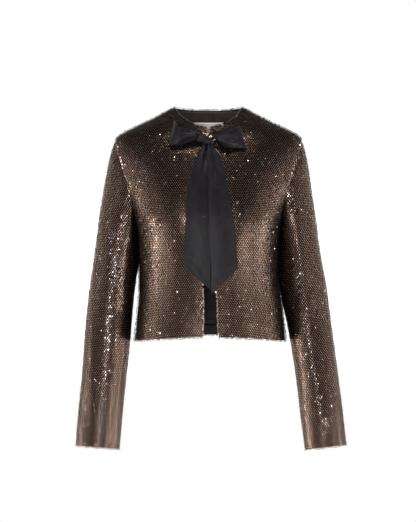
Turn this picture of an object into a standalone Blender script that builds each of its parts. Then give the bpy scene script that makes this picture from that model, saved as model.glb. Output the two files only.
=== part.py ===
"""A cropped sequin jacket with a satin neck bow, in the shape it has when worn, with nobody in it.

Frame: metres, +Z up, the jacket faces -Y, and the wearer's left is +X. The origin is halfway between the
two neck points, where the shoulder seams meet the neck edge and the wearer's shoulders carry the jacket.
Tables are in millimetres. A cloth wall is a grid of points on the jacket's form, and the same points moved in.
"""

import math
from collections import namedtuple

import bmesh
import bpy
import numpy as np

MM = 0.001

# Cloth walls and seams, in mm
SHELL = 1.6
LINING = 1.0
LABEL = 0.6
SATIN = 1.2
SEAM = 0.3
PLY_GAP = 0.4

# Driving heights, in mm from the neck points
HEM = -465.0
HEM_RISE_FRONT, HEM_RISE_BACK = 12.0, 4.0
HEM_RISE_FROM = -360.0
UNDERARM = -235.0
SHOULDER_TIP = -62.0
NECK_FRONT = -45.5
NECK_POINT = 0.0
CUFF = -675.0

# Grid sizes
HEM_ROWS = 9
RING = 24
FRONT_COLUMNS = 10
BACK_COLUMNS = 20
CAP_RINGS = 8
SLEEVE_RINGS = 10
NECK_ROWS = [-56.5, -51, NECK_FRONT, -43.2, -40, -35, -28, -20, -11, NECK_POINT]

Section = namedtuple("Section", "height half_width front back ridge round_front round_back sway")
TORSO = [
    Section(8, 54.0, 3, 62, 7, 1.80, 2.00, 0),
    Section(0, 68.0, -5, 65, 7, 1.80, 1.90, 0),
    Section(-15, 95.0, -27, 75, 7, 1.80, 1.62, 0),
    Section(-30, 125.0, -46, 82, 7, 1.80, 1.62, 0),
    Section(-45, 156.5, -63, 88, 6, 1.85, 1.72, 0),
    Section(-62, 184.5, -78, 94, 6, 1.95, 1.88, 0),
    Section(-95, 190.0, -95, 103, 5, 2.10, 2.10, 0),
    Section(-130, 184.5, -106, 108, 4, 2.20, 2.20, 0),
    Section(-165, 173.0, -115, 111, 3, 2.25, 2.30, 0),
    Section(-200, 158.0, -122, 110, 2, 2.30, 2.30, 0),
    Section(-235, 146.5, -126, 107, 2, 2.30, 2.30, 0),
    Section(-260, 142.0, -126, 104, 2, 2.30, 2.30, 0),
    Section(-290, 139.5, -124, 101, 2, 2.30, 2.25, 0),
    Section(-347, 139.0, -119, 99, 2, 2.35, 2.25, 1),
    Section(-380, 142.0, -117, 100, 2, 2.35, 2.25, 3),
    Section(-410, 145.0, -117, 103, 2, 2.40, 2.30, 3),
    Section(-465, 151.0, -117, 108, 2, 2.40, 2.30, 3),
    Section(-475, 152.0, -117, 109, 2, 2.40, 2.30, 3),
]

# The front neck edge, and how far each centre front edge stands from the middle
NeckPoint = namedtuple("NeckPoint", "height half_width")
NECK_EDGE = [
    NeckPoint(NECK_POINT, 68.0),
    NeckPoint(-11, 63.0),
    NeckPoint(-20, 57.0),
    NeckPoint(-28, 49.5),
    NeckPoint(-35, 40.5),
    NeckPoint(-40, 31.0),
    NeckPoint(-43.2, 20.5),
    NeckPoint(NECK_FRONT, 7.0),
]
FrontEdge = namedtuple("FrontEdge", "height gap_right gap_left")
FRONT_EDGE = [
    FrontEdge(NECK_FRONT, 6.5, 4.5),
    FrontEdge(-62, 2.2, 2.2),
    FrontEdge(-85, 2.2, 2.2),
    FrontEdge(-130, 5.0, 4.5),
    FrontEdge(-235, 10.5, 9.0),
    FrontEdge(-347, 13.5, 13.0),
    FrontEdge(-465, 14.5, 17.0),
]

# The armhole is an egg in side view, wider at the underarm
ARMHOLE_FRONT = 58.0
ARMHOLE_BACK = 62.0
ARMHOLE_EGG = 0.25

# Sleeve stations: outer and inner side in front view, centre in side view, half its depth
Station = namedtuple("Station", "height outer inner middle half_depth")
SLEEVE_RIGHT = [
    Station(-315, 232.0, 142.0, 1, 50.0),
    Station(-347, 236.5, 145.0, 0, 48.0),
    Station(-411, 244.0, 151.0, -2, 44.5),
    Station(-475, 249.0, 155.5, -7, 42.0),
    Station(-539, 252.5, 163.0, -13, 39.5),
    Station(-603, 258.5, 169.0, -20, 37.5),
    Station(-690, 264.5, 176.5, -30, 35.5),
]
SLEEVE_LEFT = [
    Station(-315, 228.5, 142.0, 1, 50.0),
    Station(-347, 234.5, 145.0, 0, 48.0),
    Station(-411, 243.5, 153.5, -2, 44.5),
    Station(-475, 251.5, 164.0, -7, 42.0),
    Station(-539, 259.0, 173.5, -13, 39.5),
    Station(-603, 266.5, 180.5, -20, 37.5),
    Station(-690, 275.0, 191.5, -30, 35.5),
]
# How each sleeve meridian leaves the armhole and meets the tube, at the top and at the underarm
CAP_LEAVE_TOP, CAP_LEAVE_UNDER = 30.0, 13.0
CAP_MEET_TOP, CAP_MEET_UNDER = 90.0, 15.0
CAP_SLOPE_TOP, CAP_SLOPE_UNDER = math.radians(54), math.radians(92)

# Soft folds of a sleeve. Ring angle 0 is the outer side and 90 the front. Depth is how far the cloth moves out
Fold = namedtuple("Fold", "height angle lean half_length half_width depth")
SLEEVE_FOLDS = [
    Fold(-480, 48, 4, 150, 14, 1.8),
    Fold(-470, 84, -6, 130, 16, -1.6),
    Fold(-205, 112, 30, 46, 15, -2.2),
    Fold(-262, 128, 24, 40, 13, 2.0),
    Fold(-408, 150, -30, 34, 16, -2.4),
    Fold(-436, 118, 26, 36, 15, 1.6),
    Fold(-392, 236, -24, 40, 17, -2.2),
    Fold(-446, 262, 22, 38, 16, 1.8),
    Fold(-250, 250, -26, 44, 15, -2.0),
    Fold(-600, 292, 6, 60, 18, 1.4),
]

# What shows of the inside: back neck facing, lining with its hem pleat, hem facing and label
FACING_DEPTH = 20.0
LINING_HEM = -441.0
NECK_TURN = 1.5
HEM_TURN = 1.5
LABEL_WIDTH = 64.0
LABEL_DROP = 30.0

# The bow. The tie is one satin band, SATIN thick, gathered into the knot
KNOT = np.array([-6.5, -98.5, -74.0])
KNOT_HALF = np.array([14.5, 9.0, 11.0])
KNOT_LEAN = math.radians(-20)
KNOT_GROOVE = 0.03
KNOT_CLEAR = 0.7
LOOP_HALF = 2.5
TIE_CLEAR = 4.0
LoopStation = namedtuple("LoopStation", "reach top bottom front_top front_bottom bulge slant")
LOOP_RIGHT = [
    LoopStation(20, -62, -73, -63, -73, 3, 0),
    LoopStation(26, -54, -75, -58, -76, 9, 1),
    LoopStation(38, -44, -78, -54, -80, 14, 3),
    LoopStation(52, -36, -82, -51, -85, 17, 6),
    LoopStation(61, -34, -83, -42, -85, 13, 9),
    LoopStation(66, -33, -81, -34, -81, 3, 10),
]
LOOP_LEFT = [
    LoopStation(7, -65, -73, -65, -73, 3, 0),
    LoopStation(14, -60, -74, -66, -75, 8, 1),
    LoopStation(25, -54, -85, -66, -88, 14, 3),
    LoopStation(38, -51, -88, -67, -91, 17, 5),
    LoopStation(51, -47, -89, -62, -91, 14, 8),
    LoopStation(61, -43, -90, -44, -90, 3, 10),
]
LOOP_STEPS = 9
LOOP_BANDS = 6
TailStation = namedtuple("TailStation", "height inner outer")
TAIL_RIGHT = [
    TailStation(-80, 0, -11),
    TailStation(-92, 0, -15),
    TailStation(-106, 2, -22),
    TailStation(-146, 4, -35),
    TailStation(-171, 5, -41),
    TailStation(-257, 6, -45),
    TailStation(-320, 5, -47),
]
TAIL_LEFT = [
    TailStation(-80, 1, 5),
    TailStation(-92, -2, 12),
    TailStation(-106, -3, 22),
    TailStation(-154, -1, 35),
    TailStation(-186, 0, 41),
    TailStation(-257, 1, 51),
    TailStation(-322, 5, 56),
]
TAIL_TOP = -84.0
TAIL_TIP_RIGHT = -364.0
TAIL_TIP_LEFT = -372.0
TAIL_ROWS = 14
TAIL_BANDS = 6
TAIL_PLEAT = 2.2
TAIL_LIFT = 3.5
BandPlace = namedtuple("BandPlace", "across height")
BAND_RIGHT = [BandPlace(-28.0, -45.0), BandPlace(-24.0, -55.0)]
BAND_LEFT = [BandPlace(20.0, -49.0), BandPlace(16.0, -58.0)]

COLOURS = {
    "sequin cloth": ((0.075, 0.048, 0.034), 0.38, 0.6),
    "satin": ((0.030, 0.030, 0.034), 0.32, 0.0),
    "lining satin": ((0.034, 0.029, 0.027), 0.36, 0.0),
    "label tape": ((0.80, 0.77, 0.77), 0.45, 0.0),
}


def at(table, name, height):
    """A table's column at a height, by cubic curves through its rows that don't overshoot."""
    rows = sorted(table)
    heights = np.array([row.height for row in rows], float)
    values = np.array([getattr(row, name) for row in rows], float)
    steps = np.diff(values) / np.diff(heights)
    slopes = np.concatenate([[steps[0]], (steps[:-1] + steps[1:]) / 2, [steps[-1]]])
    for k, step in enumerate(steps):
        limit = 3 * abs(step)
        slopes[k] = np.clip(slopes[k], -limit, limit)
        slopes[k + 1] = np.clip(slopes[k + 1], -limit, limit)
    height = np.clip(height, heights[0], heights[-1])
    k = int(np.clip(np.searchsorted(heights, height) - 1, 0, len(steps) - 1))
    span = heights[k + 1] - heights[k]
    t = (height - heights[k]) / span
    return (
        values[k] * (1 + 2 * t) * (1 - t) ** 2
        + slopes[k] * span * t * (1 - t) ** 2
        + values[k + 1] * t * t * (3 - 2 * t)
        + slopes[k + 1] * span * t * t * (t - 1)
    )


def section(face, height):
    """Half width, depth from the ridge, roundness and ridge of the form's front or back at a height."""
    ridge = at(TORSO, "ridge", height)
    half_width = at(TORSO, "half_width", height)
    if face == "front":
        return half_width, ridge - at(TORSO, "front", height), at(TORSO, "round_front", height), ridge
    return half_width, at(TORSO, "back", height) - ridge, at(TORSO, "round_back", height), ridge


def inside(face, x, depth_from_zero, height):
    """How far inside the form a point is: below 1 inside, 1 on the form."""
    half_width, depth, power, ridge = section(face, height)
    away = depth_from_zero * (-1 if face == "front" else 1) + ridge * (1 if face == "front" else -1)
    return (abs(x) / half_width) ** power + (max(away, 0.0) / depth) ** power


def normal_at(face, point):
    """The form's outward direction at a point on it."""
    x, y, z = point
    small = 0.5
    half_width, depth, power, ridge = section(face, z)
    away = max(ridge - y if face == "front" else y - ridge, 0.0)
    direction = np.array([
        math.copysign(power / half_width * (abs(x) / half_width) ** (power - 1), x) if x else 0.0,
        (-1 if face == "front" else 1) * power / depth * (away / depth) ** (power - 1),
        (inside(face, x, y, z + small) - inside(face, x, y, z - small)) / (2 * small),
    ])
    return direction / np.linalg.norm(direction)


def armhole_share(height):
    """The ring angle's cosine at a height of the armhole: 1 at the shoulder tip, -1 at the underarm."""
    return np.clip(2 * (height - UNDERARM) / (SHOULDER_TIP - UNDERARM) - 1, -1.0, 1.0)


def armhole_depth(face, height):
    """How far the armhole edge stands in front of the ridge, or behind it."""
    cosine = armhole_share(height)
    reach = ARMHOLE_FRONT if face == "front" else ARMHOLE_BACK
    return reach * math.sqrt(1 - cosine * cosine) * (1 - ARMHOLE_EGG * cosine)


def row(face, height, start, columns, trim_start, trim_end):
    """Points of a level row on half of the form, from x = start to the side, armhole or shoulder seam."""
    half_width, depth, power, ridge = section(face, height)
    first = math.asin(min(1.0, start / half_width) ** (power / 2))
    last = math.pi / 2
    if UNDERARM < height < SHOULDER_TIP:
        last = math.acos((armhole_depth(face, height) / depth) ** (power / 2))
    angles = np.linspace(first, last, 300)
    x = half_width * np.sin(angles) ** (2 / power)
    away = depth * np.clip(np.cos(angles), 0, 1) ** (2 / power)
    y = ridge - away if face == "front" else ridge + away
    run = np.concatenate([[0], np.cumsum(np.hypot(np.diff(x), np.diff(y)))])
    wanted = np.linspace(trim_start, run[-1] - trim_end, columns + 1)
    return np.stack([np.interp(wanted, run, x), np.interp(wanted, run, y), np.full(columns + 1, height)], axis=1)


def body_heights():
    """Row heights: even up to the underarm, then the armhole ring's own heights, then the neck's rows."""
    low = np.linspace(HEM, UNDERARM, HEM_ROWS + 1)[:-1]
    half_ring = RING // 2
    cosines = np.cos(np.linspace(math.pi, 0, half_ring + 1))
    middle = UNDERARM + (SHOULDER_TIP - UNDERARM) * (1 + cosines) / 2
    return np.concatenate([low, middle, NECK_ROWS])


def hung(grid, rise):
    """A panel's points with the hem lifted towards the middle of the body, and the body's slight sway."""
    done = grid.copy()
    down = np.clip((HEM_RISE_FROM - grid[:, :, 2]) / (HEM_RISE_FROM - HEM), 0, 1)
    half_width = at(TORSO, "half_width", HEM)
    done[:, :, 2] += rise * down**2 * (1 - (grid[:, :, 0] / half_width) ** 2)
    sway = np.array([at(TORSO, "sway", line[0][2]) for line in grid])
    done[:, :, 0] += sway[:, None]
    return done


def front_grid(gap_name):
    """Outer points of a front: rows from the hem to the neck, columns from the centre front to the seams."""
    rows = []
    for height in body_heights():
        if height <= NECK_FRONT:
            start = at(FRONT_EDGE, gap_name, height)
        else:
            start = at(NECK_EDGE, "half_width", height)
        rows.append(row("front", height, start, FRONT_COLUMNS, 0.0, SEAM / 2))
    return np.array(rows)


def back_grid():
    """Outer points of the back, columns from the wearer's right seams round to the left ones."""
    rows = []
    for height in body_heights():
        half = row("back", height, 0.0, BACK_COLUMNS // 2, 0.0, SEAM / 2)
        rows.append(np.concatenate([half[::-1] * (-1, 1, 1), half[1:]]))
    return np.array(rows)


def grid_normals(face, grid):
    """The form's outward directions at every point of a grid."""
    return np.array([[normal_at(face, point) for point in line] for line in grid])


def moved_in(grid, normals, distance):
    """A grid's points moved inwards along their own directions."""
    return grid - normals * distance


def solid(name, outer, inner, tube=False):
    """A closed wall between two grids of points. A tube's columns run all the way round."""
    rows, columns = outer.shape[:2]
    mesh = bmesh.new()
    sides = [
        [[mesh.verts.new([c * MM for c in point]) for point in line] for line in grid]
        for grid in (outer, inner)
    ]
    last = columns if tube else columns - 1
    for k, side in enumerate(sides):
        for i in range(rows - 1):
            for j in range(last):
                a, b = side[i][j], side[i][(j + 1) % columns]
                c, d = side[i + 1][(j + 1) % columns], side[i + 1][j]
                mesh.faces.new((a, b, c, d) if k == 0 else (d, c, b, a))
    outside, within = sides
    rims = [(0, j, 0, (j + 1) % columns) for j in range(last)]
    rims += [(rows - 1, (j + 1) % columns, rows - 1, j) for j in range(last)]
    if not tube:
        rims += [(i + 1, 0, i, 0) for i in range(rows - 1)]
        rims += [(i, columns - 1, i + 1, columns - 1) for i in range(rows - 1)]
    for i, j, k, m in rims:
        mesh.faces.new((outside[k][m], outside[i][j], within[i][j], within[k][m]))
    return finish(name, mesh)


def finish(name, mesh):
    """Makes the object from a mesh, in triangles with its faces outwards and shaded smooth."""
    bmesh.ops.triangulate(mesh, faces=mesh.faces, quad_method="SHORT_EDGE")
    bmesh.ops.recalc_face_normals(mesh, faces=mesh.faces)
    data = bpy.data.meshes.new(name)
    mesh.to_mesh(data)
    mesh.free()
    data.shade_smooth()
    data.set_sharp_from_angle(angle=math.radians(40))
    made = bpy.data.objects.new(name, data)
    bpy.context.scene.collection.objects.link(made)
    return made


def paint(made, finish_name):
    """Gives a piece its own material in one of the jacket's finishes."""
    colour, roughness, metallic = COLOURS[finish_name]
    material = bpy.data.materials.new(f"{made.name} {finish_name}")
    material.use_nodes = True
    shader = material.node_tree.nodes["Principled BSDF"]
    shader.inputs["Base Color"].default_value = (*colour, 1)
    shader.inputs["Roughness"].default_value = roughness
    shader.inputs["Metallic"].default_value = metallic
    made.data.materials.append(material)


def mirrored(grid):
    """A grid on the wearer's other side."""
    return grid * (-1, 1, 1)


def armhole_ring():
    """The armhole edge on the +X side: ring angle 0 at the shoulder tip, 90 at the front, 180 underarm."""
    points = []
    for k in range(RING):
        angle = 2 * math.pi * k / RING
        face = "front" if angle <= math.pi else "back"
        height = UNDERARM + (SHOULDER_TIP - UNDERARM) * (1 + math.cos(angle)) / 2
        half_width, depth, power, ridge = section(face, height)
        away = armhole_depth(face, height)
        x = half_width * (1 - (away / depth) ** power) ** (1 / power)
        points.append((x, ridge - away if face == "front" else ridge + away, height))
    return np.array(points)


def tube_ring(stations, height):
    """One ring of the sleeve below the cap, square to the sleeve's own line."""
    def centre(z):
        across = (at(stations, "outer", z) + at(stations, "inner", z)) / 2
        return np.array([across, at(stations, "middle", z), z])

    line = centre(height - 8) - centre(height + 8)
    line /= np.linalg.norm(line)
    out = np.array([1.0, 0, 0]) - line[0] * line
    out /= np.linalg.norm(out)
    fore = np.cross(out, line)
    fore *= -math.copysign(1, fore[1])
    half_width = (at(stations, "outer", height) - at(stations, "inner", height)) / 2 * out[0]
    half_depth = at(stations, "half_depth", height)
    angles = 2 * np.pi * np.arange(RING) / RING
    sideways = half_width * np.outer(np.cos(angles), out)
    return centre(height) + sideways + half_depth * np.outer(np.sin(angles), fore)


def sleeve_rings(stations):
    """Rings of a sleeve on the +X side, from the armhole to the cuff."""
    start = armhole_ring()
    joint, below = tube_ring(stations, stations[0].height), tube_ring(stations, stations[0].height - 16)
    meet = (below - joint) / np.linalg.norm(below - joint, axis=1)[:, None]
    angles = 2 * np.pi * np.arange(RING) / RING
    high = (1 + np.cos(angles)) / 2
    slope = CAP_SLOPE_UNDER + (CAP_SLOPE_TOP - CAP_SLOPE_UNDER) * high
    leave = np.stack([np.cos(slope), -0.12 * np.sin(angles), -np.sin(slope)], axis=1)
    leave /= np.linalg.norm(leave, axis=1)[:, None]
    leave_by = (CAP_LEAVE_UNDER + (CAP_LEAVE_TOP - CAP_LEAVE_UNDER) * high)[:, None]
    meet_by = (CAP_MEET_UNDER + (CAP_MEET_TOP - CAP_MEET_UNDER) * high)[:, None]
    first = start + leave * SEAM
    handle_a, handle_b = first + leave * leave_by, joint - meet * meet_by
    rings = []
    for k in range(CAP_RINGS):
        t = k / CAP_RINGS
        ends = first * (1 - t) ** 3 + joint * t**3
        rings.append(ends + 3 * t * (1 - t) * (handle_a * (1 - t) + handle_b * t))
    rings += [tube_ring(stations, z) for z in np.linspace(stations[0].height, CUFF, SLEEVE_RINGS + 1)]
    return np.array(rings)


def ring_normals(rings):
    """Outward directions of a tube from its neighbours along it and round it."""
    along = np.gradient(rings, axis=0)
    round_it = np.roll(rings, -1, axis=1) - np.roll(rings, 1, axis=1)
    normals = np.cross(along, round_it)
    normals /= np.linalg.norm(normals, axis=2)[:, :, None]
    outwards = rings - rings.mean(axis=1)[:, None]
    return normals * np.sign((normals * outwards).sum(axis=(1, 2)))[:, None, None]


def fold_heights(rings):
    """How far the soft folds move each point of a sleeve out."""
    angles = 360 * np.arange(RING) / RING
    moved = np.zeros(rings.shape[:2])
    for fold in SLEEVE_FOLDS:
        up = (rings[:, :, 2] - fold.height) / fold.half_length
        line = fold.angle + fold.lean * up
        across = (angles - line + 180) % 360 - 180
        moved += fold.depth * np.exp(-(up**2) * 1.6 - (across / fold.half_width) ** 2)
    order = np.arange(len(rings))
    still = np.clip(order / 3, 0, 1) * np.clip((len(rings) - 1 - order) / 2, 0, 1)
    return moved * still[:, None]


def make_sleeve(name, stations, mirror):
    """One sleeve, a tube from its armhole to its cuff."""
    rings = sleeve_rings(stations)
    normals = ring_normals(rings)
    rings = rings + normals * fold_heights(rings)[:, :, None]
    normals = ring_normals(rings)
    outer, inner = rings, moved_in(rings, normals, SHELL)
    if mirror:
        outer, inner = mirrored(outer), mirrored(inner)
    paint(solid(name, outer, inner, tube=True), "sequin cloth")


def make_body():
    """Fronts and back, with what shows of the inside."""
    for name, gap_name, mirror in (("front_right", "gap_right", True), ("front_left", "gap_left", False)):
        grid = front_grid(gap_name)
        inner = moved_in(grid, grid_normals("front", grid), SHELL)
        if mirror:
            grid, inner = mirrored(grid), mirrored(inner)
        paint(solid(name, hung(grid, HEM_RISE_FRONT), hung(inner, HEM_RISE_FRONT)), "sequin cloth")
    grid = back_grid()
    normals = grid_normals("back", grid)
    inner = moved_in(grid, normals, SHELL)
    paint(solid("back", hung(grid, HEM_RISE_BACK), hung(inner, HEM_RISE_BACK)), "sequin cloth")
    make_inside(grid, normals)


def row_between(side, position):
    """A row of points at a fractional row number."""
    k = min(int(position), len(side) - 2)
    return side[k] + (side[k + 1] - side[k]) * (position - k)


def make_inside(grid, normals):
    """The back's neck facing, lining and hem facing, made from the back's own points moved inwards."""
    heights = grid[:, 0, 2]
    face = hung(moved_in(grid, normals, SHELL + PLY_GAP), HEM_RISE_BACK)[:, 1:-1]
    back_of = hung(moved_in(grid, normals, SHELL + PLY_GAP + LINING), HEM_RISE_BACK)[:, 1:-1]

    def row_number(height):
        return float(np.interp(height, heights, np.arange(len(heights))))

    def strip(name, low, high):
        first, last = row_number(low), row_number(high)
        whole = [k for k in range(len(heights)) if first + 0.2 < k < last - 0.2]
        walls = [np.array([row_between(side, k) for k in [first, *whole, last]]) for side in (face, back_of)]
        paint(solid(name, *walls), "lining satin")

    strip("back_neck_facing", -FACING_DEPTH, heights[-1] - NECK_TURN)
    strip("back_lining", LINING_HEM, -FACING_DEPTH - SEAM)
    strip("back_hem_facing", HEM + HEM_TURN, LINING_HEM - SEAM)
    make_label()


def make_label():
    """The blank neck label, hung from the facing's lower edge."""
    inset = SHELL + PLY_GAP + LINING + 2 * PLY_GAP
    top = -FACING_DEPTH - 1.5
    lines = []
    for height in np.linspace(top - LABEL_DROP, top, 5):
        half_width, depth, power, ridge = section("back", height)
        line = []
        for x in np.linspace(-LABEL_WIDTH / 2, LABEL_WIDTH / 2, 9):
            y = ridge + depth * (1 - (abs(x) / half_width) ** power) ** (1 / power)
            line.append((x, y, height))
        lines.append(line)
    grid = np.array(lines)
    normals = grid_normals("back", grid)
    paint(solid("neck_label", moved_in(grid, normals, inset), moved_in(grid, normals, inset + LABEL)), "label tape")


def chest(x, height):
    """The front's outer face at a place in front view."""
    half_width, depth, power, ridge = section("front", height)
    return ridge - depth * (1 - (abs(x) / half_width) ** power) ** (1 / power)


def sheet_wall(name, grid, thickness, finish_name):
    """A satin band: a grid of middle points given half its thickness to each side."""
    along, across = np.gradient(grid, axis=0), np.gradient(grid, axis=1)
    normals = np.cross(along, across)
    normals /= np.linalg.norm(normals, axis=2)[:, :, None]
    paint(solid(name, grid + normals * thickness / 2, grid - normals * thickness / 2), finish_name)


def on_knot(point, direction):
    """Where a line from a point meets the knot's skin, KNOT_CLEAR outside it."""
    turn = np.array([
        [math.cos(KNOT_LEAN), 0, math.sin(KNOT_LEAN)],
        [0, 1, 0],
        [-math.sin(KNOT_LEAN), 0, math.cos(KNOT_LEAN)],
    ])
    skin = KNOT_HALF + KNOT_CLEAR
    start, step = turn @ (point - KNOT) / skin, turn @ direction / skin
    square, cross = step @ step, start @ step
    root = max(cross**2 - square * (start @ start - 1), 0.0)
    return point - direction * (cross + math.sqrt(root)) / square


def make_loop(name, stations, side):
    """A bow loop: the band runs out along the chest, turns and comes back in front, gathered at the knot."""
    reach = np.array([s.reach for s in stations], float)
    steps = np.linspace(0, 1, LOOP_STEPS + 1)
    out_reach = reach[0] + (reach[-1] - reach[0]) * np.sin(steps * math.pi / 2)
    shares = np.linspace(0, 1, LOOP_BANDS + 1)
    inwards = np.array([-side, 0.0, 0.0])

    def column(label, where):
        return np.interp(where, reach, [getattr(s, label) for s in stations])

    lines = []
    for layer in ("back", "front"):
        for where in out_reach if layer == "back" else out_reach[::-1][1:]:
            front = layer == "front"
            top = column("front_top" if front else "top", where)
            bottom = column("front_bottom" if front else "bottom", where)
            near_knot = 1 - (where - reach[0]) / (reach[-1] - reach[0])
            line = []
            for share in shares:
                z = bottom + (top - bottom) * share
                x = where + column("slant", where) * (1 - share)
                away = chest(min(x, 60.0), min(z, NECK_FRONT)) - TIE_CLEAR
                rest = away + (KNOT[1] + LOOP_HALF - away) * near_knot**2
                ripple = 1.2 * near_knot * math.cos(share * 3 * math.pi)
                arch = 1 - 0.35 * (2 * share - 1) ** 2
                bow = column("bulge", where) * arch + ripple + LOOP_HALF if front else 0.0
                line.append(np.array([side * x, rest - bow, z]))
            lines.append(line)
    lines[0] = [on_knot(point, inwards) for point in lines[0]]
    lines[-1] = [on_knot(point, inwards) for point in lines[-1]]
    sheet_wall(name, np.array(lines), SATIN, "satin")


def make_tail(name, stations, tip, side, layer):
    """A hanging end of the tie: gathered under the knot, flat below, cut slantwise with its point inwards."""
    corner = stations[-1].height
    lines = []
    for k in range(TAIL_ROWS + 1):
        share_down = (k / TAIL_ROWS) ** 1.15
        line = []
        for band in range(TAIL_BANDS + 1):
            share = band / TAIL_BANDS
            end = tip + (corner - tip) * share
            z = TAIL_TOP + (end - TAIL_TOP) * share_down
            inner, outer = at(stations, "inner", z), at(stations, "outer", z)
            x = inner + (outer - inner) * share
            body = min(chest(x, max(z, -235.0)), chest(x, z))
            gathered = math.exp(-(TAIL_TOP - z) / 45)
            pleat = TAIL_PLEAT * gathered * math.cos(share * 3 * math.pi)
            wave = 1.6 * (1 - gathered) * math.sin(share * math.pi * 1.3 + side)
            line.append(np.array([x, body - TIE_CLEAR - layer - TAIL_LIFT * gathered - pleat - wave, z]))
        lines.append(line)
    lines[0] = [on_knot(point + (0, 0, -8.0), np.array([0.0, 0.0, 1.0])) for point in lines[0]]
    sheet_wall(name, np.array(lines), SATIN, "satin")


def make_knot():
    """The knot, a lump of wound satin with shallow grooves between its turns."""
    mesh = bmesh.new()
    bmesh.ops.create_uvsphere(mesh, u_segments=20, v_segments=12, radius=1.0)
    cosine, sine = math.cos(KNOT_LEAN), math.sin(KNOT_LEAN)
    for vert in mesh.verts:
        groove = 1 - KNOT_GROOVE * (1 + math.cos(vert.co.z * 3 * math.pi)) / 2
        u, v, w = np.array(vert.co) * KNOT_HALF * groove
        vert.co = [c * MM for c in KNOT + (u * cosine - w * sine, v, u * sine + w * cosine)]
    paint(finish("bow_knot", mesh), "satin")


def make_tie_bands():
    """The two short stretches of the tie between the neck edge, where they are sewn on, and the knot."""
    for name, places in (("tie_band_right", BAND_RIGHT), ("tie_band_left", BAND_LEFT)):
        start = np.array([[place.across, place.height] for place in places])
        lines = []
        for t in np.linspace(0, 1, 6):
            line = []
            for share in np.linspace(0, 1, 4):
                x, z = start[0] + (start[1] - start[0]) * share
                x += (KNOT[0] - x) * t * 0.8
                z += (KNOT[2] + 3.0 - z) * t * 0.55
                line.append(np.array([x, chest(x, z) - PLY_GAP - SATIN / 2 - 3.0 * t, z]))
            lines.append(line)
        towards = KNOT - np.mean(lines[-2], axis=0)
        lines[-1] = [on_knot(point, towards / np.linalg.norm(towards)) for point in lines[-2]]
        sheet_wall(name, np.array(lines), SATIN, "satin")


def main():
    for old in list(bpy.data.objects):
        bpy.data.objects.remove(old)
    make_body()
    make_sleeve("sleeve_right", SLEEVE_RIGHT, True)
    make_sleeve("sleeve_left", SLEEVE_LEFT, False)
    make_loop("bow_loop_right", LOOP_RIGHT, -1)
    make_loop("bow_loop_left", LOOP_LEFT, 1)
    make_tail("tie_tail_right", TAIL_RIGHT, TAIL_TIP_RIGHT, -1, 0.0)
    make_tail("tie_tail_left", TAIL_LEFT, TAIL_TIP_LEFT, 1, 4.0)
    make_knot()
    make_tie_bands()


main()
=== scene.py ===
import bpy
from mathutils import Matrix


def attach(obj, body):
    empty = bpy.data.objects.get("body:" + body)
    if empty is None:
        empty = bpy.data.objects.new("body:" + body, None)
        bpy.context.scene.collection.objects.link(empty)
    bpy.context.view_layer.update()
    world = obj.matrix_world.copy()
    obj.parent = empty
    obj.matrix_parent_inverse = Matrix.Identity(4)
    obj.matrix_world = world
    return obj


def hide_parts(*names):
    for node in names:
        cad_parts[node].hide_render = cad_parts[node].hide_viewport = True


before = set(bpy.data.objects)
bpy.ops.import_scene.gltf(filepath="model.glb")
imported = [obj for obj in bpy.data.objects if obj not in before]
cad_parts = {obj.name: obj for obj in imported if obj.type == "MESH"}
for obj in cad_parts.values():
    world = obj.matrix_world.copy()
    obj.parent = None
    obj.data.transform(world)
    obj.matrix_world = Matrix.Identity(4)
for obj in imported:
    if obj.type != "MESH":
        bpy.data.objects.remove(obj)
"""A cropped sequin jacket with a satin bow at the neck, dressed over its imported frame.

Metres, +Z up. The jacket faces -Y and its wearer's left is +X. Tables are in millimetres.
"""

import logging
import math
from dataclasses import dataclass, field
from enum import Enum
from typing import Any, NamedTuple, Sequence

import bmesh
import bpy
import numpy as np
from mathutils import Vector
from mathutils.bvhtree import BVHTree

LOG = logging.getLogger("jacket")
MM = 0.001
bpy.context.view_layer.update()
Array = np.ndarray
# A wave texture's band is 1 / (scale * WAVE) across where it has no distortion
WAVE = 3.18


# Colour and node helpers


def linear(code: str) -> tuple[float, float, float, float]:
    """Turns an sRGB hex colour into linear RGBA.

    Args:
        code: six hex digits, with or without a leading #.

    Returns:
        Linear red, green and blue with an alpha of 1.
    """
    parts = [int(code.lstrip("#")[k : k + 2], 16) / 255 for k in (0, 2, 4)]
    red, green, blue = (c / 12.92 if c <= 0.04045 else ((c + 0.055) / 1.055) ** 2.4 for c in parts)
    return red, green, blue, 1.0


def add_node(tree: bpy.types.NodeTree, kind: str, values: dict | None = None, links: dict | None = None) -> Any:
    """Adds one node with its settings and links.

    Args:
        tree: the node tree that it goes into.
        kind: the node's type name.
        values: settings by name. A number or the name of an input sets that input, "stops" the places and hex colours
            of a ramp, lowest first, and anything else the node itself.
        links: what feeds its inputs, by the input's name or number: an output, or a node for its first output.

    Returns:
        The new node.
    """
    node = tree.nodes.new(kind)
    for name, value in (values or {}).items():
        if name == "stops":
            elements = node.color_ramp.elements
            while len(elements) < len(value):
                elements.new(0.5)
            for element, (place, code) in zip(elements, value):
                element.position = place
                element.color = linear(code)
        elif isinstance(name, int) or name in node.inputs:
            node.inputs[name].default_value = value
        else:
            setattr(node, name, value)
    for name, source in (links or {}).items():
        tree.links.new(source.outputs[0] if isinstance(source, bpy.types.Node) else source, node.inputs[name])
    return node


def blank_material(name: str) -> tuple[bpy.types.Material, bpy.types.NodeTree]:
    """A material with an empty node tree.

    Args:
        name: the material's name.

    Returns:
        The material and its tree.
    """
    made = bpy.data.materials.new(name)
    made.use_nodes = True
    made.node_tree.nodes.clear()
    return made, made.node_tree


# Finishes


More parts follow.
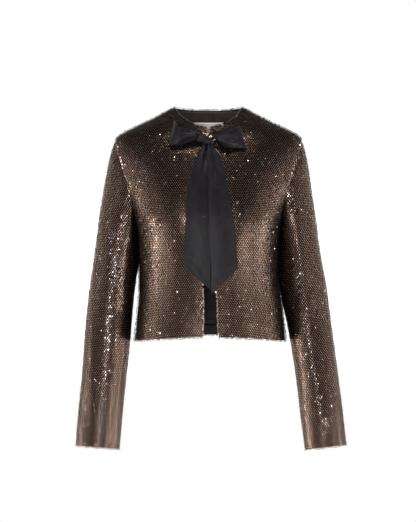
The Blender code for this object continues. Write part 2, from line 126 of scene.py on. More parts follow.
@dataclass(frozen=True)
class SequinFilm:
    """Metallised plastic film, stamped into small discs: a slightly frosted bronze mirror."""

    dark: str = "#402c1f"
    middle: str = "#7f6859"
    # The light end of the ramp is a pale pinkish white: sequins on the glitter lines take it as a painted glint, and
    # stray ones reach part way towards it at random.
    light: str = "#bcada9"
    rim: str = "#48291a"
    hole: str = "#0d0806"
    roughness: float = 0.31
    rim_share: float = 0.3
    hole_share: float = 0.12

    def material(self) -> bpy.types.Material:
        """Builds the film: colour differs from disc to disc, at random and as painted glints, with a needle hole and a
        darker stamped rim.

        Returns:
            The material.
        """
        made, tree = blank_material("bronze_sequin_film")
        tone = add_node(tree, "ShaderNodeAttribute", {"attribute_name": "tone"}).outputs["Fac"]
        stops = [(0.0, self.dark), (0.45, self.middle), (1.0, self.light)]
        colour = add_node(tree, "ShaderNodeValToRGB", {"stops": stops}, {"Fac": tone})
        disc = add_node(tree, "ShaderNodeUVMap", {"uv_map": "disc"})
        centred = add_node(tree, "ShaderNodeVectorMath", {"operation": "SUBTRACT", 1: (0.5, 0.5, 0)}, {0: disc})
        far = add_node(tree, "ShaderNodeVectorMath", {"operation": "LENGTH"}, {0: centred}).outputs["Value"]
        # The hole is darkest in the middle, and the rim starts at four fifths of the radius
        hole, rim = (
            add_node(
                tree,
                "ShaderNodeMapRange",
                {"From Min": start, "From Max": end, "To Min": inside, "To Max": outside},
                {"Value": far},
            )
            for start, end, inside, outside in (
                (self.hole_share * 0.3, self.hole_share * 0.6, 0.8, 0.0),
                (0.40, 0.5, 0.0, self.rim_share),
            )
        )
        for share, shade in ((rim, self.rim), (hole, self.hole)):
            mixed = {"data_type": "RGBA", 7: linear(shade)}
            colour = add_node(tree, "ShaderNodeMix", mixed, {0: share, 6: colour}).outputs[2]
        limits = {"To Min": self.roughness + 0.05, "To Max": self.roughness - 0.04}
        rough = add_node(tree, "ShaderNodeMapRange", limits, {"Value": tone})
        feeds = {"Base Color": colour, "Roughness": rough}
        shader = add_node(tree, "ShaderNodeBsdfPrincipled", {"Metallic": 1.0}, feeds)
        add_node(tree, "ShaderNodeOutputMaterial", links={"Surface": shader})
        return made


@dataclass(frozen=True)
class KnitGround:
    """Fine nylon knit that carries the sequins: nearly black, matt, with small ribs between the discs."""

    colour: str = "#060403"
    # The raised loops are painted lighter than the hollows between them: painted light and shade.
    lit_raised_loops: str = "#0e0906"
    rib_mm: float = 1.1

    def material(self) -> bpy.types.Material:
        """Builds the knit from two crossing ribs of loops.

        Returns:
            The material.
        """
        made, tree = blank_material("dark_nylon_knit")
        place = add_node(tree, "ShaderNodeTexCoord").outputs["Object"]
        # Real stitches are about 0.4 mm across, too fine to show, so they are drawn rib_mm across
        scale = 1 / (self.rib_mm * MM * WAVE)
        ribs = [
            add_node(
                tree,
                "ShaderNodeTexWave",
                {"wave_type": "BANDS", "bands_direction": way, "Scale": scale, "Distortion": 1.5, "Detail": 1.0},
                {"Vector": place},
            ).outputs["Fac"]
            for way in ("X", "Z")
        ]
        loops = add_node(tree, "ShaderNodeMath", {"operation": "MULTIPLY"}, {0: ribs[0], 1: ribs[1]})
        # The loops are painted lighter where they stand highest and darker between them: painted light and shade that
        # follow the ribs' height.
        stops = [(0.0, self.colour), (1.0, self.lit_raised_loops)]
        colour = add_node(tree, "ShaderNodeValToRGB", {"stops": stops}, {"Fac": loops})
        bump = add_node(tree, "ShaderNodeBump", {"Strength": 0.6, "Distance": 0.0004}, {"Height": loops})
        matt = {"Roughness": 0.82, "Specular IOR Level": 0.05}
        shader = add_node(tree, "ShaderNodeBsdfPrincipled", matt, {"Base Color": colour, "Normal": bump})
        add_node(tree, "ShaderNodeOutputMaterial", links={"Surface": shader})
        return made


@dataclass(frozen=True)
class Satin:
    """Polyester satin, woven so that long floats lie one way: smooth, with a soft broad sheen and no sparkle."""

    name: str
    # shade and lit are the painted shade of the slack's hollows and the painted light on its crests.
    shade: str
    lit: str
    sheen_tint: str
    roughness: float = 0.42
    gloss: float = 0.13
    sheen: float = 0.02
    ruck_mm: float = 16.0
    ruck: float = 0.25
    thread_mm: float = 0.5

    def material(self) -> bpy.types.Material:
        """Builds the weave and the slack of the cloth.

        Returns:
            The material.
        """
        made, tree = blank_material(self.name)
        cloth = add_node(tree, "ShaderNodeUVMap", {"uv_map": "cloth"})
        # Real floats are 0.1 mm across, too fine to show, so they are drawn thread_mm across
        threads = {"wave_type": "BANDS", "bands_direction": "X", "Distortion": 2.0}
        threads["Scale"] = 1 / (self.thread_mm * MM * WAVE)
        floats = add_node(tree, "ShaderNodeTexWave", threads, {"Vector": cloth}).outputs["Fac"]
        rucks = {"Scale": 1 / (self.ruck_mm * MM), "Detail": 2.0}
        slack = add_node(tree, "ShaderNodeTexNoise", rucks, {"Vector": cloth}).outputs["Fac"]
        # The slack is painted: darker in its hollows and lighter on its crests, as painted shade and light that follow
        # the bump.
        colour = add_node(tree, "ShaderNodeValToRGB", {"stops": [(0.3, self.shade), (0.7, self.lit)]}, {"Fac": slack})
        soft = add_node(tree, "ShaderNodeBump", {"Strength": self.ruck, "Distance": 0.003}, {"Height": slack})
        fine = {"Strength": 0.12, "Distance": 0.0002}
        bump = add_node(tree, "ShaderNodeBump", fine, {"Height": floats, "Normal": soft})
        shader = add_node(
            tree,
            "ShaderNodeBsdfPrincipled",
            {
                "Roughness": self.roughness,
                "Specular IOR Level": self.gloss,
                "Anisotropic": 0.5,
                "Sheen Weight": self.sheen,
                "Sheen Roughness": 0.45,
                "Sheen Tint": linear(self.sheen_tint),
            },
            {"Base Color": colour, "Normal": bump},
        )
        add_node(tree, "ShaderNodeOutputMaterial", links={"Surface": shader})
        return made


@dataclass(frozen=True)
class WovenTape:
    """Damask label tape: bright white, with a fine crossways rib and a slight shine."""

    colour: str = "#f8f1f0"
    # The furrows between the ribs are painted darker, a painted shade.
    furrow_painted_shade: str = "#ddd3d2"
    rib_mm: float = 0.7

    def material(self) -> bpy.types.Material:
        """Builds the ribbed tape.

        Returns:
            The material.
        """
        made, tree = blank_material("white_label_tape")
        cloth = add_node(tree, "ShaderNodeUVMap", {"uv_map": "cloth"})
        # Real ribs are 0.3 mm across, too fine to show, so they are drawn rib_mm across
        bands = {"wave_type": "BANDS", "bands_direction": "Y", "Distortion": 0.6}
        bands["Scale"] = 1 / (self.rib_mm * MM * WAVE)
        ribs = add_node(tree, "ShaderNodeTexWave", bands, {"Vector": cloth}).outputs["Fac"]
        # Painted shade: the furrows are darker than the crests of the ribs.
        stops = [(0.0, self.furrow_painted_shade), (0.6, self.colour)]
        colour = add_node(tree, "ShaderNodeValToRGB", {"stops": stops}, {"Fac": ribs})
        bump = add_node(tree, "ShaderNodeBump", {"Strength": 0.3, "Distance": 0.0002}, {"Height": ribs})
        shine = {"Roughness": 0.5, "Sheen Weight": 0.1}
        shader = add_node(tree, "ShaderNodeBsdfPrincipled", shine, {"Base Color": colour, "Normal": bump})
        add_node(tree, "ShaderNodeOutputMaterial", links={"Surface": shader})
        return made


@dataclass(frozen=True)
class PaperFloor:
    """Matt white studio paper: pale and even, with only soft shadows on it."""

    colour: str = "#f4f3f2"
    mottle: str = "#efeeed"

    def material(self) -> bpy.types.Material:
        """Builds the paper with a faint mottle.

        Returns:
            The material.
        """
        made, tree = blank_material("matt_studio_paper")
        place = add_node(tree, "ShaderNodeTexCoord").outputs["Object"]
        mottle = add_node(tree, "ShaderNodeTexNoise", {"Scale": 3.0, "Detail": 3.0}, {"Vector": place}).outputs["Fac"]
        stops = [(0.0, self.mottle), (1.0, self.colour)]
        colour = add_node(tree, "ShaderNodeValToRGB", {"stops": stops}, {"Fac": mottle})
        shader = add_node(tree, "ShaderNodeBsdfPrincipled", {"Roughness": 0.9}, {"Base Color": colour})
        add_node(tree, "ShaderNodeOutputMaterial", links={"Surface": shader})
        return made


@dataclass
class Finishes:
    """Every material of the jacket, built once."""

    film: bpy.types.Material = field(default_factory=lambda: SequinFilm().material())
    ground: bpy.types.Material = field(default_factory=lambda: KnitGround().material())
    # Each satin takes a painted shade colour and a painted lit colour for the slack of its cloth.
    ribbon: bpy.types.Material = field(
        default_factory=lambda: Satin("charcoal_ribbon_satin", "#141214", "#1b191c", "#8f93a3").material()
    )
    facing: bpy.types.Material = field(
        default_factory=lambda: Satin(
            "brown_facing_satin", "#3d352f", "#4a413b", "#8d8078", gloss=0.3, ruck=0.1
        ).material()
    )
    lining: bpy.types.Material = field(
        default_factory=lambda: Satin("black_lining_satin", "#0a0908", "#12100f", "#6d6460").material()
    )
    tape: bpy.types.Material = field(default_factory=lambda: WovenTape().material())


# Shared mesh making


def link(name: str, data: Any) -> Any:
    """Puts a new object with its data into the scene, and returns it."""
    made = bpy.data.objects.new(name, data)
    bpy.context.scene.collection.objects.link(made)
    return made


def read(items: Any, label: str, width: int) -> Array:
    """Reads a value of every item of a mesh, as rows of the given width."""
    values = np.zeros(len(items) * width)
    items.foreach_get(label, values)
    return values.reshape(-1, width)


def add_piece(name: str, mesh: bpy.types.Mesh | bmesh.types.BMesh, materials: Sequence[bpy.types.Material]) -> Any:
    """Links a mesh as a smooth piece at the origin, riding on the jacket.

    Args:
        name: the piece's name.
        mesh: its mesh, or a bmesh that is used up.
        materials: the materials of its slots.

    Returns:
        The object.
    """
    if isinstance(mesh, bmesh.types.BMesh):
        source, mesh = mesh, bpy.data.meshes.new(name)
        source.to_mesh(mesh)
        source.free()
    mesh.name = name
    mesh.materials.clear()
    for material in materials:
        mesh.materials.append(material)
    mesh.shade_smooth()
    made = link(name, mesh)
    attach(made, "root")
    LOG.info("%s: %d faces", name, len(mesh.polygons))
    return made


def thicken(piece: Any, thickness: float, inner_slot: int = 0, offset: float = -1.0) -> None:
    """Gives a sheet its cloth thickness.

    Args:
        piece: the sheet.
        thickness: the thickness, in metres.
        inner_slot: how many slots further on the inner wall's material is.
        offset: -1 for a thickness away from the sheet's face, 0 for one on both sides of it.
    """
    wall = piece.modifiers.new("thickness", "SOLIDIFY")
    wall.thickness = thickness
    wall.offset = offset
    wall.material_offset = inner_slot


def curve_through(places: Sequence[float], values: Sequence[float], where: Array) -> Array:
    """A smooth curve through points that doesn't overshoot them.

    Args:
        places: rising places of the points.
        values: their values.
        where: the places asked for.

    Returns:
        The curve's values there.
    """
    at, to = np.asarray(places, float), np.asarray(values, float)
    step, rise = np.diff(at), np.diff(to) / np.diff(at)
    slope = np.zeros(len(at))
    same = rise[:-1] * rise[1:] > 0
    weight = 2 * step[1:] + step[:-1], step[1:] + 2 * step[:-1]
    with np.errstate(divide="ignore", invalid="ignore"):
        inner = (weight[0] + weight[1]) / (weight[0] / rise[:-1] + weight[1] / rise[1:])
    slope[1:-1] = np.where(same, inner, 0.0)
    slope[0], slope[-1] = rise[0], rise[-1]
    asked = np.clip(where, at[0], at[-1])
    k = np.clip(np.searchsorted(at, asked) - 1, 0, len(at) - 2)
    h = step[k]
    t = (asked - at[k]) / h
    return (
        to[k] * (1 + 2 * t) * (1 - t) ** 2
        + slope[k] * h * t * (1 - t) ** 2
        + to[k + 1] * t * t * (3 - 2 * t)
        + slope[k + 1] * h * t * t * (t - 1)
    )


class Look(Enum):
    """The side that a crease is placed from, as the direction of sight."""

    FRONT = (0.0, 1.0, 0.0)
    BACK = (0.0, -1.0, 0.0)
    LEFT = (-1.0, 0.0, 0.0)
    RIGHT = (1.0, 0.0, 0.0)


class Crease(NamedTuple):
    """A soft ridge, or with a negative depth a trough, along a line seen from one side. All in mm."""

    look: Look
    path: tuple[tuple[float, float], ...]
    width: float
    depth: float


class Wall(Enum):
    """Which wall of a CAD solid a cloth is made from. The convex side is the larger."""

    OUTER = 0
    INNER = 1


class Held(Enum):
    """How a sheet of cloth is held."""

    HUNG = "hung"
    GATHERED = "gathered"


class Cut(NamedTuple):
    """A piece as it is cut, before it is sewn: width and length in metres, and its area in square metres."""

    width: float
    length: float
    area: float


@dataclass
class Cloth:
    """One cut piece of cloth: a thin sheet on the wall of its CAD solid, with its own creases."""

    node: str
    wall: Wall = Wall.OUTER
    thickness: float = 1.0
    tube: bool = False
    upright: bool = True
    creases: Sequence[Crease] = ()
    levels: int = 2
    sharp: float = math.radians(50)
    skew: float = math.radians(70)
    cuff_reach: float = 20.0
    cut: Cut = Cut(0.0, 0.0, 0.0)

    def coarse(self) -> bmesh.types.BMesh:
        """One wall of the CAD solid as an open sheet of quads.

        Returns:
            The sheet.
        """
        mesh = bmesh.new()
        mesh.from_mesh(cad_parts[self.node].data)
        bmesh.ops.remove_doubles(mesh, verts=mesh.verts, dist=1e-5)
        mesh.normal_update()
        walls: list[list[bmesh.types.BMFace]] = []
        seen: set[bmesh.types.BMFace] = set()
        for start in mesh.faces:
            if start in seen:
                continue
            seen.add(start)
            wall, queue = [], [start]
            while queue:
                face = queue.pop()
                wall.append(face)
                for edge in face.edges:
                    if edge.calc_face_angle(math.pi) < self.sharp:
                        for near in edge.link_faces:
                            if near not in seen:
                                seen.add(near)
                                queue.append(near)
            walls.append(wall)
        walls.sort(key=lambda faces: -sum(face.calc_area() for face in faces))
        kept = set(walls[self.wall.value])
        bmesh.ops.delete(mesh, geom=[face for face in mesh.faces if face not in kept], context="FACES")
        bmesh.ops.join_triangles(
            mesh, faces=mesh.faces, angle_face_threshold=self.sharp, angle_shape_threshold=self.skew
        )
        if self.tube:
            self.mark_underarm(mesh)
        return mesh

    def mark_underarm(self, mesh: bmesh.types.BMesh) -> None:
        """Marks the seam of a sleeve, from the cuff's inner side straight up to the armhole.

        Args:
            mesh: the sleeve's sheet.
        """
        low = min(vert.co.z for vert in mesh.verts)
        cuff = [vert for vert in mesh.verts if vert.is_boundary and vert.co.z < low + self.cuff_reach * MM]
        vert = min(cuff, key=lambda v: abs(v.co.x))
        way = Vector((0.0, 0.0, 1.0))
        while True:
            steps = [(edge, edge.other_vert(vert)) for edge in vert.link_edges if not edge.seam]
            edge, after = max(steps, key=lambda s: (s[1].co - vert.co).normalized().dot(way))
            edge.seam = True
            way = (after.co - vert.co).normalized()
            vert = after
            if vert.is_boundary:
                return

    def flatten(self, piece: Any) -> None:
        """Lays the sheet out flat in its UV map, as it is cut, in metres with its length along V.

        Args:
            piece: the sheet's object.
        """
        bpy.context.view_layer.objects.active = piece
        piece.select_set(True)
        bpy.ops.object.mode_set(mode="EDIT")
        bpy.ops.mesh.select_all(action="SELECT")
        bpy.ops.uv.unwrap(method="MINIMUM_STRETCH", margin=0.0)
        bpy.ops.object.mode_set(mode="OBJECT")
        piece.select_set(False)
        mesh = piece.data
        mesh.uv_layers.active.name = "cloth"
        flat = read(mesh.uv_layers["cloth"].data, "uv", 2)
        mesh.calc_loop_triangles()
        corners = np.array([tri.loops for tri in mesh.loop_triangles])
        place = np.array([mesh.vertices[loop.vertex_index].co for loop in mesh.loops])
        across, along = flat[corners[:, 1:]] - flat[corners[:, :1]], place[corners[:, 1:]] - place[corners[:, :1]]
        size = np.linalg.norm(np.cross(along[:, 0], along[:, 1]), axis=1) / 2
        spread = np.linalg.det(across) / 2
        rise = np.linalg.solve(across, along[:, :, 2:])[:, :, 0]
        up = (rise * size[:, None]).sum(axis=0)
        # A tie runs across rather than up, so its length is the way in which it reaches furthest
        if not self.upright:
            middle = flat - flat.mean(axis=0)
            up = np.linalg.eigh(middle.T @ middle)[1][:, 1]
        turn = math.atan2(up[0], up[1])
        cosine, sine = math.cos(turn), math.sin(turn)
        flat = flat @ np.array([[cosine, sine], [-sine, cosine]])
        flat *= math.sqrt(size.sum() / abs(spread.sum()))
        if spread.sum() < 0:
            flat[:, 0] *= -1
        flat -= flat.min(axis=0)
        mesh.uv_layers["cloth"].data.foreach_set("uv", flat.ravel())
        self.cut = Cut(*(float(side) for side in flat.max(axis=0)), float(size.sum()))
        LOG.info("%s: cut %.3f x %.3f m, %.5f square metres", self.node, *self.cut)

    def crease(self, mesh: bpy.types.Mesh) -> None:
        """Moves the cloth in or out along its creases.

        Args:
            mesh: the fine sheet, which is changed.
        """
        count = len(mesh.vertices)
        place, normal = read(mesh.vertices, "co", 3), read(mesh.vertex_normals, "vector", 3)
        tree = BVHTree.FromPolygons(place.tolist(), [tuple(face.vertices) for face in mesh.polygons])
        moved = np.zeros(count)
        for line in self.creases:
            sight = Vector(line.look.value)
            points = []
            for side, height in line.path:
                spot = Vector((side, 0, height) if sight.x == 0 else (0, side, height)) * MM
                hit = tree.ray_cast(spot - sight, sight)[0]
                points.append(np.array(hit if hit is not None else tree.find_nearest(spot)[0]))
            best = np.full(count, 1e9)
            share = np.zeros(count)
            for k, (start, end) in enumerate(zip(points, points[1:])):
                run = end - start
                along = np.clip((place - start) @ run / (run @ run), 0, 1)
                away = np.linalg.norm(place - start - along[:, None] * run, axis=1)
                nearer = away < best
                best[nearer] = away[nearer]
                share[nearer] = ((k + along) / (len(points) - 1))[nearer]
            # A crease dies away towards both of its ends
            taper = np.sin(math.pi * np.clip(share, 0.02, 0.98)) ** 0.7
            moved += line.depth * MM * taper * np.exp(-((best / (line.width * MM)) ** 2))
        mesh.vertices.foreach_set("co", (place + normal * moved[:, None]).ravel())
        mesh.update()

    def build(self, materials: Sequence[bpy.types.Material], slot: str) -> Any:
        """Makes the finished piece and hides the CAD solid that it stands for.

        Args:
            materials: the face's material, and the inner wall's if it has its own.
            slot: the record's material slot, which is not used.

        Returns:
            The object.
        """
        draft = link("draft", bpy.data.meshes.new("draft"))
        coarse = self.coarse()
        coarse.to_mesh(draft.data)
        coarse.free()
        self.flatten(draft)
        round_off = draft.modifiers.new("round", "SUBSURF")
        round_off.levels = round_off.render_levels = self.levels
        round_off.boundary_smooth = "PRESERVE_CORNERS"
        graph = bpy.context.evaluated_depsgraph_get()
        mesh = bpy.data.meshes.new_from_object(draft.evaluated_get(graph))
        bpy.data.objects.remove(draft)
        if self.creases:
            self.crease(mesh)
        piece = add_piece(f"{self.node}_cloth", mesh, materials)
        thicken(piece, self.thickness * MM, len(materials) - 1)
        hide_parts(self.node)
        return piece


# Sequins


class Glitter(NamedTuple):
    """A line down the front of a sleeve, in X and Z, along which many sequins tilt further and are coloured nearly
    white, a painted glint.
    """

    path: tuple[tuple[float, float], ...]
    width: float
    share: float

    def holds(self, where: Array, out: Array) -> Array:
        """Tells which sequins lie on the line.

        Args:
            where: the sequins' places, in metres.
            out: the directions that they face.

        Returns:
            True for each one on the line.
        """
        x, z = where[:, 0] / MM, where[:, 2] / MM
        path = np.array(self.path)
        middle = np.interp(-z, -path[:, 1], path[:, 0])
        return (np.abs(x - middle) < self.width / 2) & (z < path[0, 1]) & (z > path[-1, 1]) & (out[:, 1] < 0)


@dataclass
class SequinField:
    """Cupped discs in staggered rows over one cut piece, sewn on along its flat grain."""

    cloth: Any
    name: str
    seed: int
    pitch: float = 4.4
    row: float = 3.35
    radius: float = 1.22
    cup: float = 0.05
    lift: float = 0.6
    slack: float = 0.8
    lean: float = 2.0
    wobble: float = 1.5
    stray_share: float = 0.1
    stray: float = 9.0
    edge_step: float = 1.3
    edge_reach: float = 2.6
    flare: float = 60.0
    jitter: float = 0.05
    tone: tuple[float, float] = (0.47, 0.08)
    stray_tone: tuple[float, float] = (0.35, 0.85)
    # Tone of the sequins on the glitter lines: a painted glint, nearly white.
    painted_glint_tone: tuple[float, float] = (0.7, 1.0)
    glitter: Sequence[Glitter] = ()

    def disc(self) -> tuple[Array, Array]:
        """One cupped disc, in metres, facing +Z.

        Returns:
            Its points and its triangles.
        """
        mesh = bmesh.new()
        bmesh.ops.create_circle(mesh, cap_ends=True, segments=8, radius=self.radius * MM)
        bmesh.ops.poke(mesh, faces=mesh.faces)
        for vert in mesh.verts:
            if vert.co.length < self.radius * MM / 2:
                vert.co.z -= self.cup * MM
        bmesh.ops.recalc_face_normals(mesh, faces=mesh.faces)
        if sum(face.normal.z for face in mesh.faces) < 0:
            bmesh.ops.reverse_faces(mesh, faces=mesh.faces)
        mesh.verts.index_update()
        points = np.array([vert.co for vert in mesh.verts])
        faces = np.array([[vert.index for vert in face.verts] for face in mesh.faces])
        mesh.free()
        return points, faces

    def places(self) -> tuple[Array, Array]:
        """Walks the staggered rows over the flat cut and finds each place on the worn cloth.

        Returns:
            The places, and the three directions at each: across the rows, along them and out.
        """
        mesh = self.cloth.data
        mesh.calc_loop_triangles()
        loops = np.array([tri.loops for tri in mesh.loop_triangles])
        verts = np.array([tri.vertices for tri in mesh.loop_triangles])
        flat = read(mesh.uv_layers["cloth"].data, "uv", 2)[loops]
        place, normal = read(mesh.vertices, "co", 3)[verts], read(mesh.vertex_normals, "vector", 3)[verts]
        layer = np.concatenate([flat, np.zeros(flat.shape[:2] + (1,))], axis=2).reshape(-1, 3)
        tree = BVHTree.FromPolygons(layer.tolist(), np.arange(len(layer)).reshape(-1, 3).tolist())
        wide, high = flat.reshape(-1, 2).max(axis=0)
        hits, spots = [], []
        down = Vector((0.0, 0.0, -1.0))
        for k in range(int(high / (self.row * MM)) + 1):
            for u in np.arange((k % 2) * self.pitch * MM / 2, wide, self.pitch * MM):
                spot = (u, k * self.row * MM)
                index = tree.ray_cast(Vector((*spot, 1.0)), down)[2]
                if index is not None:
                    hits.append(index)
                    spots.append(spot)
        hit, spot = np.array(hits), np.array(spots)
        edges = flat[hit][:, 1:] - flat[hit][:, :1]
        share = np.linalg.solve(np.transpose(edges, (0, 2, 1)), (spot - flat[hit][:, 0])[:, :, None])[:, :, 0]
        weight = np.concatenate([1 - share.sum(axis=1, keepdims=True), share], axis=1)[:, :, None]
        where = (place[hit] * weight).sum(axis=1)
        out = (normal[hit] * weight).sum(axis=1)
        out /= np.linalg.norm(out, axis=1)[:, None]
        ways = np.linalg.solve(edges, place[hit][:, 1:] - place[hit][:, :1])
        up = ways[:, 1] - (ways[:, 1] * out).sum(axis=1)[:, None] * out
        up /= np.linalg.norm(up, axis=1)[:, None]
        return where, np.stack([np.cross(up, out), up, out], axis=2)

    def edge_places(self, rng: np.random.Generator) -> tuple[Array, Array]:
        """The close row along every cut edge, whose discs stand out past the cloth and roughen its outline.

        Args:
            rng: the random source.

        Returns:
            The places, and the three directions at each, as places() gives them.
        """
        mesh = bmesh.new()
        mesh.from_mesh(self.cloth.data)
        mesh.normal_update()
        where, axes = [], []
        for edge in mesh.edges:
            if not edge.is_boundary:
                continue
            face = edge.link_faces[0]
            start, run = edge.verts[0].co, edge.verts[1].co - edge.verts[0].co
            along = run.normalized()
            past = face.normal.cross(along)
            if past.dot(face.calc_center_median() - start) > 0:
                along, past = -along, -past
            for _ in range(int(run.length / (self.edge_step * MM) + rng.random())):
                where.append(start + run * rng.random() + past * (self.edge_reach * MM * rng.random()))
                axes.append((along, past, face.normal.copy()))
        mesh.free()
        return np.array(where), np.transpose(np.array(axes), (0, 2, 1))

    def build(self, material: bpy.types.Material) -> Any:
        """Sews every disc on, as one joined mesh.

        Args:
            material: the sequins' film.

        Returns:
            The object.
        """
        rng = np.random.default_rng(self.seed)
        points, faces = self.disc()
        inner, edge = self.places(), self.edge_places(rng)
        where, axes = np.concatenate([inner[0], edge[0]]), np.concatenate([inner[1], edge[1]])
        count = len(where)
        outermost = np.arange(count) >= len(inner[0])
        chance = rng.random(count)
        loose = (chance < self.stray_share) | outermost
        # Sequins on the glitter lines tilt further, and below they are also coloured as painted glints.
        bright = np.zeros(count, dtype=bool)
        for line in self.glitter:
            bright |= line.holds(where, axes[:, :, 2]) & (chance < line.share)
        spread = np.where(loose | bright, self.stray, self.wobble)
        nod = np.radians(self.lean + rng.normal(0, 1, count) * spread - outermost * rng.uniform(0, self.flare, count))
        roll = np.radians(rng.normal(0, 1, count) * spread)
        spin = rng.random(count) * math.tau
        turn = axes @ self.rotation(nod, 0) @ self.rotation(roll, 1) @ self.rotation(spin, 2)
        # The threads have slack, so some discs stand further off and roughen the outline
        stand = self.lift + self.slack * np.abs(rng.normal(0, 1, count))
        aside = [rng.normal(0, self.jitter, count) for _ in range(2)]
        shift = np.stack([*aside, stand], axis=1) * MM
        shifted = where + np.einsum("nij,nj->ni", axes, shift)
        cloud = shifted[:, None, :] + np.einsum("nij,kj->nki", turn, points)
        sides = (faces[None] + (np.arange(count) * len(points))[:, None, None]).reshape(-1)
        mesh = bpy.data.meshes.new(self.name)
        mesh.vertices.add(count * len(points))
        mesh.vertices.foreach_set("co", cloud.ravel())
        mesh.loops.add(len(sides))
        mesh.loops.foreach_set("vertex_index", sides)
        mesh.polygons.add(len(sides) // 3)
        mesh.polygons.foreach_set("loop_start", np.arange(0, len(sides), 3))
        mesh.update(calc_edges=True)
        tone = rng.normal(*self.tone, count)
        tone = np.where(loose, rng.uniform(*self.stray_tone, count), tone)
        # Sequins on the glitter lines take the nearly white painted glint tone.
        tone = np.clip(np.where(bright, rng.uniform(*self.painted_glint_tone, count), tone), 0, 1)
        mesh.attributes.new("tone", "FLOAT", "POINT").data.foreach_set("value", np.repeat(tone, len(points)))
        disc = points[:, :2] / (2 * self.radius * MM) + 0.5
        mesh.uv_layers.new(name="disc").data.foreach_set("uv", np.tile(disc[faces.reshape(-1)], (count, 1)).ravel())
        mesh.validate()
        piece = add_piece(self.name, mesh, [material])
        return piece

    @staticmethod
    def rotation(angle: Array, axis: int) -> Array:
        """Turns about one local axis.

        Args:
            angle: the angles, in radians.
            axis: 0, 1 or 2.

        Returns:
            One matrix for each angle.
        """
        cosine, sine = np.cos(angle), np.sin(angle)
        after, last = (axis + 1) % 3, (axis + 2) % 3
        made = np.zeros((len(angle), 3, 3))
        made[:, axis, axis] = 1.0
        made[:, after, after] = made[:, last, last] = cosine
        made[:, after, last], made[:, last, after] = -sine, sine
        return made


# The bow


class LoopStation(NamedTuple):
    """A bow loop at one reach from the middle: the edges of its two layers and how far the front one stands off."""

    reach: float
    top: float
    bottom: float
    front_top: float
    front_bottom: float
    bulge: float
    slant: float


class TailStation(NamedTuple):
    """A hanging end at one height: how far its inner and outer edge stand from the middle."""

    height: float
    inner: float
    outer: float


class Fold(NamedTuple):
    """A soft ridge of the ribbon towards the viewer, or with a negative depth a trough, along a line in X and Z."""

    path: tuple[tuple[float, float], ...]
    width: float
    depth: float

    def out(self, x: float, z: float) -> float:
        """How far the fold moves a point towards the viewer, in mm.

        Args:
            x: the place across, in mm.
            z: the height, in mm.

        Returns:
            The move, in mm.
        """
        spot, best, share = np.array([x, z]), 1e9, 0.0
        for k, (start, end) in enumerate(zip(self.path, self.path[1:])):
            from_here, run = np.array(start), np.subtract(end, start)
            along = min(max(float((spot - from_here) @ run / (run @ run)), 0.0), 1.0)
            away = float(np.linalg.norm(spot - from_here - along * run))
            if away < best:
                best, share = away, (k + along) / (len(self.path) - 1)
        taper = math.sin(math.pi * min(max(share, 0.12), 0.88)) ** 0.6
        return self.depth * taper * math.exp(-((best / self.width) ** 2))


# How far forward the middle of the knot stands, in mm along Y
KNOT_FACE = -98.5


def rows_of(kind: Any, *rows: tuple) -> tuple:
    """Turns the plain rows of a table into its own kind of rows."""
    return tuple(kind(*row) for row in rows)


@dataclass
class Chest:
    """The face of the fronts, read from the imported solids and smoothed, for what lies on it."""

    trees: list[BVHTree] = field(default_factory=list)
    opening: float = 18.0
    neck_edge: float = -46.0
    missed: float = -110.0

    def __post_init__(self) -> None:
        """Reads the two fronts' solids."""
        for name in ("front_right", "front_left"):
            mesh = bmesh.new()
            mesh.from_mesh(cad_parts[name].data)
            self.trees.append(BVHTree.FromBMesh(mesh))
            mesh.free()

    def depth(self, x: float, z: float) -> float:
        """How far forward the fronts stand, in mm.

        Args:
            x: the place across, in mm.
            z: the height, in mm.

        Returns:
            The depth along Y, in mm.
        """
        side = -1.0 if x < 0 else 1.0
        found = []
        for across, up in ((0, 0), (7, 4), (-7, 4), (7, -4), (-7, -4), (0, 12), (0, -12)):
            spot = Vector((side * max(abs(x + across), self.opening), -400.0, min(z + up, self.neck_edge))) * MM
            hits = [tree.ray_cast(spot, Vector((0.0, 1.0, 0.0)))[0] for tree in self.trees]
            found += [hit.y / MM for hit in hits if hit is not None]
        return sum(found) / len(found) if found else self.missed


@dataclass
class Ribbon:
    """A length of satin ribbon: a grid that a method lays in place, given its thickness."""

    name: str
    node: str
    steps_along: int
    steps_across: int
    thickness: float = 0.8
    folds: Sequence[Fold] = ()
    cut_width: float = 0.05
    weave: tuple[float, float] = (0.06, 0.2)
    held: Held = Held.GATHERED

    def point(self, along: float, across: float) -> Array:
        """Where a point of the flat ribbon lies, in mm. Each kind of ribbon has its own.

        Args:
            along: 0 to 1 along the ribbon.
            across: 0 to 1 across it.

        Returns:
            The point.
        """
        raise NotImplementedError

    def build(self, material: bpy.types.Material) -> Any:
        """Lays the ribbon out and finishes it.

        Args:
            material: the satin.

        Returns:
            The object.
        """
        mesh = bmesh.new()
        cloth = mesh.loops.layers.uv.new("cloth")
        bmesh.ops.create_grid(mesh, x_segments=self.steps_across, y_segments=self.steps_along, size=0.5)
        flat = {vert: (vert.co.x + 0.5, vert.co.y + 0.5) for vert in mesh.verts}
        for face in mesh.faces:
            for loop in face.loops:
                across, along = flat[loop.vert]
                loop[cloth].uv = (across * self.weave[0], along * self.weave[1])
        for vert, (across, along) in flat.items():
            vert.co = Vector(self.point(along, across)) * MM
        made = add_piece(self.name, mesh, [material])
        thicken(made, self.thickness * MM, offset=0.0)
        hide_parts(self.node)
        return made


